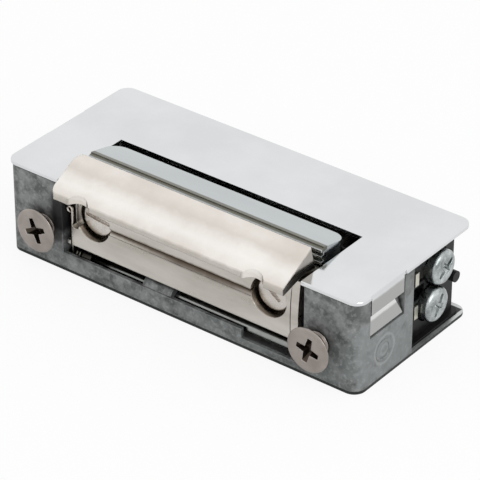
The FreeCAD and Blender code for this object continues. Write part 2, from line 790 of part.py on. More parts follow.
def make_terminal_block():
    x0 = pocket_left + 0.1
    z0 = sheet_top
    z1 = body_top - 0.05
    y0 = pocket_front + 0.1
    block = box(x0, block_right, y0, block_back, z0, z1)
    flange_plate = box(x0, half_x - 0.7, y0, half_y - 2.0, z1 - 0.5, z1)
    peg = rod_x(peg_radius, block_right - 1, half_x - 0.02, peg_y, peg_z)
    block = fuse(block, flange_plate, peg)
    cuts = []
    for y, z in zip(terminal_y, terminal_z):
        cuts.append(rod_x(terminal_radius + 0.3, block_right - 0.9, block_right + 1, y, z))
        low = z - tag_height / 2
        cuts.append(box(block_right - 0.9, block_right + 1, tag_front - 0.1, y, low - 0.1, low + tag_height + 0.1))
        cuts.append(rod_x(terminal_shaft + seat, x0 + 0.8, block_right, y, z))
    relief = box(block_right - 2.2, block_right + 1, y0 - 1, tag_front - 0.4, z0 - 1, z1 - 0.5)
    cuts.append(relief)
    valley_low = terminal_z[0] + 1.8
    valley_high = terminal_z[1] - 1.7
    cuts.append(box(block_right - 1.6, block_right + 1, tag_front - 1, tag_front + 2.7, valley_low, valley_high))
    return cut(block, *cuts)


def make_tag(index):
    y = terminal_y[index]
    z = terminal_z[index]
    x0 = block_right - 0.9
    plate = box(x0, x0 + tag_thickness, tag_front, y + 1.9, z - tag_height / 2, z + tag_height / 2)
    lug = box(x0, block_right + 0.35, tag_front, tag_front + 0.9, z - tag_height / 2, z + tag_height / 2)
    eye = rod_x(terminal_radius - 0.3, x0, x0 + tag_thickness, y, z)
    tag = fuse(plate, lug, eye)
    return tag.cut(rod_x(terminal_shaft + running, x0 - 1, x0 + 2, y, z))


def make_terminal_screw(index):
    y = terminal_y[index]
    z = terminal_z[index]
    x0 = block_right - 0.9 + tag_thickness
    x1 = x0 + terminal_head + 0.5
    head = rod_x(terminal_radius, x0, x1, y, z)
    rim = [e for e in head.Edges if all(near(v.X, x1) for v in e.Vertexes)
           and e.Curve.TypeId == "Part::GeomCircle"]
    head = head.makeFillet(0.7, rim)
    shank = rod_x(terminal_shaft, pocket_left + 1.2, x0 + 0.1, y, z)
    cuts = []
    wide = terminal_slot / 2
    for turn, half, deep in ((0, terminal_radius + 0.2, 0.8), (90, 1.5, 1.0)):
        blade = box(x1 - deep, x1 + 1, -half, half, -wide, wide)
        blade.rotate(V(0, 0, 0), V(1, 0, 0), turn + (35 if index else 62))
        blade.translate(V(0, y, z))
        cuts.append(blade)
    return cut(fuse(head, shank), *cuts)


def make_sheet():
    x0 = pocket_left + 0.1
    x1 = half_x - 1.0
    y0 = pocket_front + 0.1
    y1 = half_y - 1.3
    points = [(x0, y0), (x1, y0), (x1, y1 - 0.8), (x1 - 0.8, y1), (x0, y1)]
    return prism_z(points, base_thickness, sheet_top)


save(make_housing(), "housing")
save(make_base_plate(), "base_plate")
save(make_base_screws(), "base_screws")
save(make_cover(), "cover")
save(make_keeper_body(), "keeper_body")
save(make_lip(), "keeper_lip")
save(make_backing_bar(), "backing_bar")
save(make_clamp_screw(-1), "clamp_screw_left")
save(make_clamp_screw(1), "clamp_screw_right")
save(make_axle(), "pivot_axle")
save(make_keeper_spring(), "keeper_spring")
save(make_fixing_screw(-1), "fixing_screw_left")
save(make_fixing_screw(1), "fixing_screw_right")
save(make_lever(), "locking_lever")
save(make_lever_pin(), "lever_pin")
save(make_lever_spring(), "lever_spring")
save(make_armature(), "armature")
save(make_armature_spring(), "armature_spring")
save(make_bobbin(), "coil_bobbin")
save(make_winding(), "coil_winding")
save(make_core(), "coil_core")
save(make_yoke(), "yoke")
save(make_terminal_block(), "terminal_block")
save(make_tag(0), "terminal_tag_lower")
save(make_tag(1), "terminal_tag_upper")
save(make_terminal_screw(0), "terminal_screw_lower")
save(make_terminal_screw(1), "terminal_screw_upper")
save(make_sheet(), "insulating_sheet")
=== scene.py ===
import math

import bmesh
import bpy
from mathutils import Matrix, Vector


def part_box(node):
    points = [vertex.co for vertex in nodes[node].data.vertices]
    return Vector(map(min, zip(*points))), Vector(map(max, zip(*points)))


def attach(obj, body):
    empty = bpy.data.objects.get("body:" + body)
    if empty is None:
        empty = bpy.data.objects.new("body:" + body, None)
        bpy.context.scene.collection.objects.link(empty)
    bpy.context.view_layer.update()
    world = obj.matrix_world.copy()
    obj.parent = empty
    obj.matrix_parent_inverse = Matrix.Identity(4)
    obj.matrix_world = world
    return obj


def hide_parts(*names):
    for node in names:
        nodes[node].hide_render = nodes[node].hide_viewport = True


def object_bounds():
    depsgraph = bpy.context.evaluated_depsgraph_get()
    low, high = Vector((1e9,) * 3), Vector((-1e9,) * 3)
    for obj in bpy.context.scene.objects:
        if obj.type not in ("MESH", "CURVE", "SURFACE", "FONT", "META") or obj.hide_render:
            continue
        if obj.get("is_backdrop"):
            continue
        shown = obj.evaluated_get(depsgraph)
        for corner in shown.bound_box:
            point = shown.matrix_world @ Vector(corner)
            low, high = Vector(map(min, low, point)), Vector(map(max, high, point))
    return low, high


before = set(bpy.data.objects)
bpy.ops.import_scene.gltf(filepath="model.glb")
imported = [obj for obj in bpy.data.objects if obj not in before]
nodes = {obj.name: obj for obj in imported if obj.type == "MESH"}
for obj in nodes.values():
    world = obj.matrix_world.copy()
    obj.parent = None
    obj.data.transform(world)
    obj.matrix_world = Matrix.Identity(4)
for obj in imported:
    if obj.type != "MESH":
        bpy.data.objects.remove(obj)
cadLow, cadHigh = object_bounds()
mm = 0.001
mergeDistance = 0.003 * mm
cutTolerance = 0.0001 * mm
print("frame loaded:", len(nodes), "nodes")


# camera, placed where the photographer stood
cameraLook = {
    "azimuth": 37.744,
    "elevation": 32.266,
    "roll": 0.067,
    "distance": 444.89 * mm,
    "aim": (0, 0, 8 * mm),
    "slideRight": -0.632 * mm,
    "slideUp": 0.903 * mm,
    "lens": 220.88,
    "sensor": 36.0,
    "clip": (0.01, 20),
}


def makeCamera(look):
    azimuth, elevation, roll = (math.radians(look[k]) for k in ("azimuth", "elevation", "roll"))
    back = Vector((math.sin(azimuth) * math.cos(elevation), -math.cos(azimuth) * math.cos(elevation),
                   math.sin(elevation)))
    right = Vector((math.cos(azimuth), math.sin(azimuth), 0))
    up = back.cross(right)
    turnedRight = right * math.cos(roll) + up * math.sin(roll)
    turnedUp = up * math.cos(roll) - right * math.sin(roll)
    spot = Vector(look["aim"]) + back * look["distance"]
    spot -= turnedRight * look["slideRight"] + turnedUp * look["slideUp"]
    data = bpy.data.cameras.new("camera")
    data.lens = look["lens"]
    data.sensor_width = look["sensor"]
    data.clip_start, data.clip_end = look["clip"]
    camera = bpy.data.objects.new("camera", data)
    bpy.context.scene.collection.objects.link(camera)
    turn = Matrix((turnedRight, turnedUp, back)).transposed()
    camera.matrix_world = Matrix.Translation(spot) @ turn.to_4x4()
    bpy.context.scene.camera = camera


makeCamera(cameraLook)
print("camera set")


# node helpers
def addNode(tree, kind, **values):
    node = tree.nodes.new("ShaderNode" + kind)
    for key, value in values.items():
        setattr(node, key, value)
    return node


def noise(tree, place, scale, detail, rough, stretch=(1, 1, 1)):
    source = place
    if stretch != (1, 1, 1):
        mapping = addNode(tree, "Mapping")
        mapping.inputs["Scale"].default_value = stretch
        tree.links.new(place, mapping.inputs["Vector"])
        source = mapping.outputs["Vector"]
    texture = addNode(tree, "TexNoise")
    texture.inputs["Scale"].default_value = scale
    texture.inputs["Detail"].default_value = detail
    texture.inputs["Roughness"].default_value = rough
    tree.links.new(source, texture.inputs["Vector"])
    return texture.outputs["Fac"]


def spread(tree, value, low, high, fromLow=0.3, fromHigh=0.7):
    ranged = addNode(tree, "MapRange")
    for name, number in (("From Min", fromLow), ("From Max", fromHigh), ("To Min", low), ("To Max", high)):
        ranged.inputs[name].default_value = number
    tree.links.new(value, ranged.inputs["Value"])
    return ranged.outputs["Result"]


def blendColor(tree, factor, first, second):
    mix = addNode(tree, "Mix", data_type="RGBA")
    tree.links.new(factor, mix.inputs["Factor"])
    for color, socket in ((first, mix.inputs[6]), (second, mix.inputs[7])):
        if isinstance(color, bpy.types.NodeSocket):
            tree.links.new(color, socket)
        else:
            socket.default_value = (*color, 1)
    return mix.outputs[2]


def addNoiseColor(tree, place, scale):
    texture = addNode(tree, "TexNoise")
    texture.inputs["Scale"].default_value = scale
    tree.links.new(place, texture.inputs["Vector"])
    centred = addNode(tree, "VectorMath", operation="SUBTRACT")
    tree.links.new(texture.outputs["Color"], centred.inputs[0])
    centred.inputs[1].default_value = (0.5, 0.5, 0.5)
    return centred.outputs[0]


def multiply(tree, first, second):
    product = addNode(tree, "Math", operation="MULTIPLY")
    for value, socket in ((first, product.inputs[0]), (second, product.inputs[1])):
        if isinstance(value, bpy.types.NodeSocket):
            tree.links.new(value, socket)
        else:
            socket.default_value = value
    return product.outputs[0]


# how the edges of a stain run: noise scale, softness of a tube in mm, start of a ring's fade
stainLook = {
    "wobbleScale": 700,
    "tubeSoft": 0.05,
    "ringFade": 0.3,
}


def zone(tree, place, look):
    # share of a stain that keeps to a box, a tube along Y or a ring on an end face, all in millimetres
    wobble = addNode(tree, "VectorMath", operation="MULTIPLY_ADD")
    tree.links.new(addNoiseColor(tree, place, stainLook["wobbleScale"]), wobble.inputs[0])
    wobble.inputs[1].default_value = (look["wobble"] * mm,) * 3
    tree.links.new(place, wobble.inputs[2])
    parts = addNode(tree, "SeparateXYZ")
    tree.links.new(wobble.outputs[0], parts.inputs[0])
    share = None
    for axis in "xyz":
        if axis not in look:
            continue
        low, high = (v * mm for v in look[axis])
        soft = look.get("soft" + axis.upper(), look.get("soft", 0.2)) * mm
        for edges in ((0, 1, low - soft / 2, low + soft / 2), (1, 0, high - soft / 2, high + soft / 2)):
            part = spread(tree, parts.outputs[axis.upper()], *edges)
            share = part if share is None else multiply(tree, share, part)
    if "ring" in look:
        y, z, radius, width = look["ring"]
        flat = addNode(tree, "CombineXYZ")
        tree.links.new(parts.outputs["Y"], flat.inputs[1])
        tree.links.new(parts.outputs["Z"], flat.inputs[2])
        apart = addNode(tree, "VectorMath", operation="DISTANCE")
        tree.links.new(flat.outputs[0], apart.inputs[0])
        apart.inputs[1].default_value = (0, y * mm, z * mm)
        off = addNode(tree, "Math", operation="SUBTRACT")
        tree.links.new(apart.outputs["Value"], off.inputs[0])
        off.inputs[1].default_value = radius * mm
        away = addNode(tree, "Math", operation="ABSOLUTE")
        tree.links.new(off.outputs[0], away.inputs[0])
        part = spread(tree, away.outputs[0], 1, 0, stainLook["ringFade"] * width * mm, width * mm)
        share = part if share is None else multiply(tree, share, part)
    if "tube" in look:
        x, z, radius = look["tube"]
        side = addNode(tree, "Math", operation="ABSOLUTE")
        tree.links.new(parts.outputs["X"], side.inputs[0])
        flat = addNode(tree, "CombineXYZ")
        tree.links.new(side.outputs[0], flat.inputs[0])
        tree.links.new(parts.outputs["Z"], flat.inputs[2])
        apart = addNode(tree, "VectorMath", operation="DISTANCE")
        tree.links.new(flat.outputs[0], apart.inputs[0])
        apart.inputs[1].default_value = (x * mm, 0, z * mm)
        soft = stainLook["tubeSoft"]
        part = spread(tree, apart.outputs["Value"], 1, 0, (radius - soft) * mm, (radius + soft) * mm)
        share = part if share is None else multiply(tree, share, part)
    return multiply(tree, share, look.get("share", 0.9))


# what all finishes share: scale (clouds only), detail and roughness of the noises, ends of ranges, samples
shading = {
    "patch": (4.0, 0.6),
    "grain": (3.0, 0.6),
    "cloud": (90, 2.0, 0.5),
    "cloudEnds": (0.45, 0.65),
    "speckEnds": (0.5, 0.75),
    "wornEnds": (0.8, 0.98),
    "dirtAndPaintedShadeStart": 0.15,
    "paintedSideShadeEnds": (0.4, 0.8),
    "edgeSamples": 4,
    "dirtAndPaintedShadeSamples": 6,
}


def finish(name, look):
    material = bpy.data.materials.new(name)
    material.use_nodes = True
    tree = material.node_tree
    shader = tree.nodes["Principled BSDF"]
    shader.inputs["Metallic"].default_value = look.get("metallic", 1.0)
    place = addNode(tree, "TexCoord").outputs["Object"]
    patches = noise(tree, place, look["patchScale"], *shading["patch"], look.get("patchStretch", (1, 1, 1)))
    grain = noise(tree, place, look["grainScale"], *shading["grain"], look.get("grainStretch", (1, 1, 1)))
    ends = look.get("patchEnds", (0.35, 0.65))
    tone = blendColor(tree, spread(tree, patches, 0, 1, *ends), look["dark"], look["light"])
    if "cloud" in look:  # broad stains, several millimetres wide
        clouds = noise(tree, place, *shading["cloud"])
        share = spread(tree, clouds, 0, look["cloudShare"], *shading["cloudEnds"])
        tone = blendColor(tree, share, tone, look["cloud"])
    if "speck" in look:
        share = spread(tree, grain, 0, look["speckShare"], *shading["speckEnds"])
        tone = blendColor(tree, share, tone, look["speck"])
    soft = addNode(tree, "Bevel", samples=shading["edgeSamples"])
    soft.inputs["Radius"].default_value = look["edge"] * mm
    if "worn" in look:  # edges rubbed bright
        facing = addNode(tree, "VectorMath", operation="DOT_PRODUCT")
        tree.links.new(soft.outputs["Normal"], facing.inputs[0])
        tree.links.new(addNode(tree, "NewGeometry").outputs["Normal"], facing.inputs[1])
        share = spread(tree, facing.outputs["Value"], look.get("wornShare", 0.8), 0.0, *shading["wornEnds"])
        tone = blendColor(tree, share, tone, look["worn"])
    if "dirtAndPaintedShade" in look:  # dirt and painted shade from an ambient occlusion node, darkening corners and hollows
        hollow = addNode(tree, "AmbientOcclusion", samples=shading["dirtAndPaintedShadeSamples"])
        hollow.inputs["Distance"].default_value = look.get("dirtAndPaintedShadeReach", 1.5) * mm
        share = spread(tree, hollow.outputs["AO"], look.get("dirtAndPaintedShadeShare", 0.9), 0.0, shading["dirtAndPaintedShadeStart"],
                       look.get("dirtAndPaintedShadeEnd", 0.7))
        tone = blendColor(tree, share, tone, look["dirtAndPaintedShade"])
    if "paintedSideShade" in look:  # painted shade: faces that stand upright get a dark colour, in place of the shadow they would reflect
        upright = addNode(tree, "SeparateXYZ")
        tree.links.new(addNode(tree, "NewGeometry").outputs["Normal"], upright.inputs[0])
        level = addNode(tree, "Math", operation="ABSOLUTE")
        tree.links.new(upright.outputs["Z"], level.inputs[0])
        share = spread(tree, level.outputs[0], 1, 0, *shading["paintedSideShadeEnds"])
        tone = blendColor(tree, share, tone, look["paintedSideShade"])
    for stain in look.get("stains", []):
        tone = blendColor(tree, zone(tree, place, stain), tone, stain["color"])
    shader.inputs["Specular IOR Level"].default_value = look.get("specular", 0.5)
    tree.links.new(tone, shader.inputs["Base Color"])
    low, high = look["roughness"]
    tree.links.new(spread(tree, patches, low, high), shader.inputs["Roughness"])
    bump = addNode(tree, "Bump")
    bump.inputs["Strength"].default_value = look.get("bumpStrength", 0.3)
    bump.inputs["Distance"].default_value = look.get("bumpDepth", 0.02) * mm
    tree.links.new(grain, bump.inputs["Height"])
    tree.links.new(soft.outputs["Normal"], bump.inputs["Normal"])
    tree.links.new(bump.outputs["Normal"], shader.inputs["Normal"])
    return material


finishes = {
    "castZinc": dict(metallic=0.35, patchScale=420, patchEnds=(0.4, 0.6), grainScale=1500,
                     dark=(0.085, 0.088, 0.088), light=(0.235, 0.243, 0.243), speck=(0.42, 0.43, 0.43),
                     speckShare=0.45,
                     cloud=(0.13, 0.15, 0.145), cloudShare=0.6, worn=(0.42, 0.43, 0.43), wornShare=0.5,
                     dirtAndPaintedShade=(0.02, 0.02, 0.018), roughness=(0.42, 0.62), bumpStrength=0.5, bumpDepth=0.05, edge=0.2,
                     stains=[
                         dict(color=(0.02, 0.02, 0.02), z=(15.15, 15.6), soft=0.12, wobble=0.1),
                         # painted shade: a near-black patch left of the keeper, in place of a dark pocket in the
                         # housing that the shape lacks
                         dict(color=(0.012, 0.011, 0.012), x=(-24.4, -21.0), y=(-15.2, -8.0), z=(6.7, 13.0),
                              soft=1.0, wobble=0.8, share=0.93),
                         dict(color=(0.27, 0.285, 0.285), x=(32.4, 33.5), z=(0.5, 11.5), soft=0.6, wobble=2.5,
                              share=0.5),
                         dict(color=(0.13, 0.137, 0.135), x=(32.4, 33.5), z=(12, 15.2), soft=1.0, wobble=1.0,
                              share=0.5),
                         dict(color=(0.36, 0.375, 0.375), ring=(-7.6, 5.0, 2.35, 0.35), x=(32.8, 33.5), wobble=0.4,
                              share=0.5),
                         dict(color=(0.36, 0.375, 0.375), ring=(-7.6, 5.0, 0.8, 0.4), x=(32.8, 33.5), wobble=0.7,
                              share=0.4)]),
    "brightPlate": dict(patchScale=60, grainScale=900, dark=(0.69, 0.70, 0.71), light=(0.75, 0.76, 0.77),
                        roughness=(0.08, 0.16), bumpDepth=0.002, edge=0.08,
                        stains=[
                            # the clips at the ends, with their fold: darker all over as a painted dim reflection, a
                            # painted shadow line under the fold and a painted highlight along the tab's top
                            dict(color=(0.40, 0.40, 0.39), z=(4, 14.9), soft=0.4, wobble=0.2, share=0.9),
                            dict(color=(0.10, 0.10, 0.10), z=(11.5, 12.45), soft=0.15, wobble=0.15, share=0.8),
                            dict(color=(0.82, 0.82, 0.81), z=(10.7, 11.4), soft=0.3, wobble=0.2, share=0.8)]),
    "dullPlate": dict(metallic=0.8, patchScale=260, grainScale=1300, dark=(0.45, 0.46, 0.46),
                      # painted shade on the base plate's upright sides
                      light=(0.6, 0.61, 0.61), paintedSideShade=(0.035, 0.038, 0.038), roughness=(0.25, 0.4),
                      bumpDepth=0.01, edge=0.03,
                      stains=[dict(color=(0.01, 0.01, 0.011), x=(24, 32.4), y=(-1, 13.5), z=(0.3, 1), soft=0.15,
                                   wobble=0.1, share=0.95)]),
    "warmNickel": dict(patchScale=120, grainScale=260, grainStretch=(0.06, 1, 1), dark=(0.74, 0.69, 0.64),
                       light=(0.82, 0.78, 0.73),
                       cloud=(0.66, 0.61, 0.55), cloudShare=0.55, worn=(0.92, 0.90, 0.87), wornShare=0.4,
                       dirtAndPaintedShade=(0.10, 0.08, 0.06), dirtAndPaintedShadeReach=1.0, dirtAndPaintedShadeShare=0.6, dirtAndPaintedShadeEnd=0.5,
                       roughness=(0.14, 0.26), bumpStrength=0.5, bumpDepth=0.15, edge=0.15,
                       stains=[
                           # painted reflection: the front face of the lip's nose darker, as if mirroring the shaded
                           # floor
                           dict(color=(0.43, 0.40, 0.36), y=(-18, -17.15), z=(14, 16), soft=0.3, wobble=0.1,
                                share=0.75),
                           # painted highlight: a whitish band across the lip's top
                           dict(color=(0.97, 0.95, 0.92), y=(-16.4, -13.9), z=(15.5, 20), softY=2.2, wobble=1.2,
                                share=0.6),
                           # painted reflection: a darker beige band towards the back of the lip's top
                           dict(color=(0.60, 0.555, 0.50), y=(-13.3, -12.1), z=(15.5, 20), softY=1.3, wobble=1.0,
                                share=0.42),
                           # painted shade on the lip's right end
                           dict(color=(0.42, 0.39, 0.355), x=(21.8, 22.4), soft=0.1, wobble=0.05, share=0.85)]),
    "agedNickel": dict(patchScale=300, patchStretch=(0.2, 1, 1), grainScale=1400, dark=(0.46, 0.43, 0.385),
                       light=(0.62, 0.585, 0.54), worn=(0.80, 0.77, 0.72), wornShare=0.4,
                       dirtAndPaintedShade=(0.03, 0.022, 0.015), dirtAndPaintedShadeReach=1.2, roughness=(0.25, 0.4), bumpDepth=0.01, edge=0.15,
                       stains=[
                           # painted shadow and reflection: a dark brown band along the seam under the lip's nose,
                           # widening to the right
                           dict(color=(0.085, 0.064, 0.046), x=(-14.2, 14), y=(-14, -12.4), z=(9.7, 10.5),
                                soft=0.35, wobble=0.3, share=0.92),
                           dict(color=(0.09, 0.067, 0.048), x=(-6, 14), y=(-14, -12.4), z=(9.25, 10.5),
                                soft=0.5, softX=10, wobble=0.3, share=0.75),
                           # painted highlight: the lower part of the keeper's front lighter
                           dict(color=(0.86, 0.83, 0.785), y=(-14, -13), z=(3, 7), soft=3.5, wobble=0.3, share=0.85),
                           # painted shade at the keeper's left end, round the spring leg
                           dict(color=(0.02, 0.016, 0.012), x=(-23, -20.9), z=(6.3, 16), soft=0.15, wobble=0.1,
                                share=0.95),
                           # painted shade on the keeper's left lugs, in the gap below it
                           dict(color=(0.015, 0.014, 0.012), x=(-23, -14.5), z=(0, 4.55), soft=0.1, wobble=0.05,
                                share=0.95),
                           dict(color=(0.22, 0.185, 0.145), tube=(16.6, 10.4, 3.38), y=(-13.5, -11.2),
                                soft=0.1, wobble=0.1, share=0.85)]),
    "zincPlated": dict(patchScale=90, patchStretch=(0.3, 1, 1), grainScale=1400, dark=(0.48, 0.51, 0.52),
                       light=(0.53, 0.565, 0.575), dirtAndPaintedShade=(0.09, 0.09, 0.065), dirtAndPaintedShadeReach=1.2,
                       roughness=(0.16, 0.26), bumpDepth=0.003, edge=0.12,
                       # painted shade on the top of the bar's front face, under the lip's overhang
                       stains=[dict(color=(0.13, 0.125, 0.095), y=(-8, -6.75), z=(17.2, 19), soft=0.25, wobble=0.15,
                                    share=0.9)]),
    "nickelScrew": dict(patchScale=300, grainScale=1500, dark=(0.30, 0.265, 0.24), light=(0.39, 0.35, 0.32),
                        worn=(0.85, 0.81, 0.77), wornShare=0.7, dirtAndPaintedShade=(0.028, 0.018, 0.013), dirtAndPaintedShadeReach=1.0,
                        dirtAndPaintedShadeEnd=0.5, roughness=(0.28, 0.42), bumpDepth=0.006, edge=0.1,
                        stains=[
                            # painted shade, dark brown, on the cone and shank behind each fixing screw's head
                            dict(color=(0.05, 0.038, 0.029), x=(-30, -22), y=(-16.36, -14.9), tube=(25.95, 6.65, 2.5),
                                 soft=0.1, wobble=0.04, share=0.94),
                            dict(color=(0.075, 0.055, 0.043), x=(22, 30), y=(-16.76, -15.3), tube=(25.95, 6.65, 2.5),
                                 soft=0.1, wobble=0.04, share=0.94)]),
    "clampNickel": dict(patchScale=300, grainScale=1500, dark=(0.58, 0.54, 0.50), light=(0.72, 0.68, 0.64),
                        worn=(0.85, 0.81, 0.77), roughness=(0.2, 0.32), bumpDepth=0.006, edge=0.1),
    "platedScrew": dict(patchScale=500, grainScale=1800, dark=(0.22, 0.245, 0.245), light=(0.52, 0.555, 0.555),
                        speck=(0.85, 0.87, 0.87), speckShare=0.5, worn=(0.8, 0.82, 0.82), wornShare=0.5,
                        dirtAndPaintedShade=(0.06, 0.065, 0.063), dirtAndPaintedShadeReach=0.8, dirtAndPaintedShadeEnd=0.6, roughness=(0.2, 0.36),
                        bumpStrength=0.6, bumpDepth=0.03, edge=0.12),
    "tagMetal": dict(patchScale=500, grainScale=1800, dark=(0.55, 0.53, 0.46), light=(0.70, 0.68, 0.60),
                     roughness=(0.25, 0.4), bumpDepth=0.01, edge=0.08,
                     # painted shade on the tag's plate behind the screw heads; only its end past x 31.25 keeps the
                     # bright metal
                     stains=[dict(color=(0.022, 0.018, 0.014), x=(28, 31.25), soft=0.1, wobble=0.05, share=0.96)]),
    "springWire": dict(patchScale=300, grainScale=1500, dark=(0.50, 0.46, 0.41), light=(0.62, 0.58, 0.53),
                       dirtAndPaintedShade=(0.05, 0.04, 0.03), dirtAndPaintedShadeReach=0.6, roughness=(0.2, 0.34), bumpDepth=0.004, edge=0.08,
                       # painted shade on the coil and lower spring in the gap under the keeper's left end
                       stains=[dict(color=(0.015, 0.014, 0.012), x=(-23, -19), z=(0, 4.6), soft=0.8, wobble=0.3)]),
    "axleSteel": dict(patchScale=200, grainScale=1200, dark=(0.22, 0.23, 0.22), light=(0.34, 0.35, 0.34),
                      dirtAndPaintedShade=(0.015, 0.015, 0.013), dirtAndPaintedShadeReach=1.5, roughness=(0.16, 0.26), bumpDepth=0.004, edge=0.1,
                      # painted shade on the left part of the axle, deep in the gap under the keeper
                      stains=[dict(color=(0.012, 0.012, 0.011), x=(-26, -14.5), soft=1.0, wobble=0.3)]),
    "plainSteel": dict(patchScale=200, grainScale=1200, dark=(0.24, 0.24, 0.24), light=(0.36, 0.36, 0.36),
                       dirtAndPaintedShade=(0.02, 0.02, 0.02), roughness=(0.25, 0.4), bumpDepth=0.006, edge=0.1),
    "coilWrap": dict(metallic=0.1, patchScale=200, grainScale=900, grainStretch=(6, 1, 1), dark=(0.012, 0.011, 0.010),
                     light=(0.03, 0.026, 0.022), roughness=(0.3, 0.5), bumpStrength=0.6, bumpDepth=0.05, edge=0.1),
    "bobbinPlastic": dict(metallic=0.0, patchScale=200, grainScale=1200, dark=(0.030, 0.028, 0.026),
                          light=(0.05, 0.048, 0.044), roughness=(0.4, 0.55), edge=0.1),
    "blackPlastic": dict(metallic=0.0, patchScale=200, grainScale=1600, dark=(0.005, 0.005, 0.006),
                         light=(0.011, 0.011, 0.012), roughness=(0.3, 0.45), bumpDepth=0.01, edge=0.12,
                         specular=0.2),
}
made = {name: finish(name, look) for name, look in finishes.items()}

wears = {
    "castZinc": ["housing"],
    "brightPlate": ["cover"],
    "dullPlate": ["base_plate"],
    "warmNickel": ["keeper_lip"],
    "agedNickel": ["keeper_body"],
    "zincPlated": ["backing_bar"],
    "tagMetal": ["terminal_tag_upper", "terminal_tag_lower"],
    "plainSteel": ["locking_lever", "lever_pin", "armature", "coil_core", "yoke"],
    "coilWrap": ["coil_winding"],
    "bobbinPlastic": ["coil_bobbin"],
    "blackPlastic": ["terminal_block", "insulating_sheet"],
}
for name, members in wears.items():
    for member in members:
        data = nodes[member].data
        data.materials.clear()
        data.materials.append(made[name])
print("finishes on")


# new pieces
def newPiece(name, bm, wear, body, replaced, sharp=35):
    bmesh.ops.remove_doubles(bm, verts=bm.verts, dist=mergeDistance)
    bmesh.ops.recalc_face_normals(bm, faces=bm.faces)
    for face in bm.faces:
        face.smooth = True
    for edge in bm.edges:
        edge.smooth = edge.calc_face_angle(0) < math.radians(sharp)
    mesh = bpy.data.meshes.new(name)
    bm.to_mesh(mesh)
    bm.free()
    mesh.materials.append(made[wear])
    piece = bpy.data.objects.new(name, mesh)
    bpy.context.scene.collection.objects.link(piece)
    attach(piece, body)
    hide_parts(replaced)


# recess grid: what tells its inner lines (1/3) from its outer ones (1), then the reach of its corners
# as a share of the arms and their clearance of the arm's end
recessLook = {
    "split": 0.5,
    "cornerReach": 0.8,
    "cornerClear": 1.3,
}


def recessedFace(bm, look):
    # a driver recess: the cross of a three by three grid is sunk, its corners stay level with the rim
    arms, root, tip = look["arms"], look["root"], look["tip"]
    split, corner = recessLook["split"], recessLook["cornerReach"]
    bmesh.ops.create_grid(bm, x_segments=3, y_segments=3, size=1)
    recess = [f for f in bm.faces if min(abs(f.calc_center_median().x), abs(f.calc_center_median().y)) < split]
    for vert in bm.verts:
        far = [abs(vert.co.x) > split, abs(vert.co.y) > split]
        reach = [arms[i] if far[i] else tip for i in (0, 1)]
        if all(far):
            reach = [corner * arms[0], max(corner * arms[1], recessLook["cornerClear"] * tip)]
        elif not any(far):
            reach = [root, root]
        side = [math.copysign(mm, vert.co[i]) for i in (0, 1)]
        vert.co = (side[0] * reach[0], side[1] * reach[1], 0)
    border = [e for e in bm.edges if e.is_boundary]
    bmesh.ops.subdivide_edges(bm, edges=border, cuts=look["sides"] // len(border) - 1)
    outer = bmesh.ops.extrude_edge_only(bm, edges=[e for e in bm.edges if e.is_boundary])
    rim = [g for g in outer["geom"] if isinstance(g, bmesh.types.BMVert)]
    rim.sort(key=lambda v: math.atan2(v.co.y, v.co.x))
    step = 2 * math.pi / len(rim)
    first = round(math.atan2(rim[0].co.y, rim[0].co.x) / step)
    for number, vert in enumerate(rim):
        angle = (first + number) * step
        vert.co = (look["ring"] * mm * math.cos(angle), look["ring"] * mm * math.sin(angle), 0)
    for depth, taper in look["sink"]:
        deeper = bmesh.ops.extrude_face_region(bm, geom=recess)
        bmesh.ops.delete(bm, geom=[f for f in recess if f.is_valid], context="FACES_ONLY")
        recess = [g for g in deeper["geom"] if isinstance(g, bmesh.types.BMFace)]
        sunk = [g for g in deeper["geom"] if isinstance(g, bmesh.types.BMVert)]
        bmesh.ops.translate(bm, vec=(0, 0, -depth * mm), verts=sunk)
        bmesh.ops.scale(bm, vec=(taper, taper, 1), verts=sunk)


# thread: its depth as a share of the radius, its root, crest and flank as shares of the pitch, the tip in mm
threadLook = {
    "depth": 0.12,
    "steps": (0.35, 0.65, 0.8),
    "tip": 0.3,
}


def turnedBody(bm, look):
    profile = [(look["ring"], 0)] + look["head"]
    z = profile[-1][1]
    root, crest, flank = threadLook["steps"]
    tip = threadLook["tip"]
    inner = look["thread"] - threadLook["depth"] * look["thread"]
    while z > look["end"] + look["pitch"]:
        profile += [(inner, z - root * look["pitch"]), (look["thread"], z - crest * look["pitch"]),
                    (look["thread"], z - flank * look["pitch"]), (inner, z - look["pitch"])]
        z -= look["pitch"]
    profile += [(inner, look["end"] + tip), (inner - tip, look["end"]), (0, look["end"])]
    verts = [bm.verts.new((r * mm, 0, h * mm)) for r, h in profile]
    edges = [bm.edges.new(pair) for pair in zip(verts, verts[1:])]
    bmesh.ops.spin(bm, geom=verts + edges, cent=(0, 0, 0), axis=(0, 0, 1), angle=2 * math.pi,
                   steps=look["sides"], use_merge=True, use_duplicate=False)


facings = {
    "front": Matrix(((1, 0, 0), (0, 0, -1), (0, 1, 0))),
    "right": Matrix(((0, 0, 1), (1, 0, 0), (0, 1, 0))),
    "down": Matrix(((1, 0, 0), (0, -1, 0), (0, 0, -1))),
}


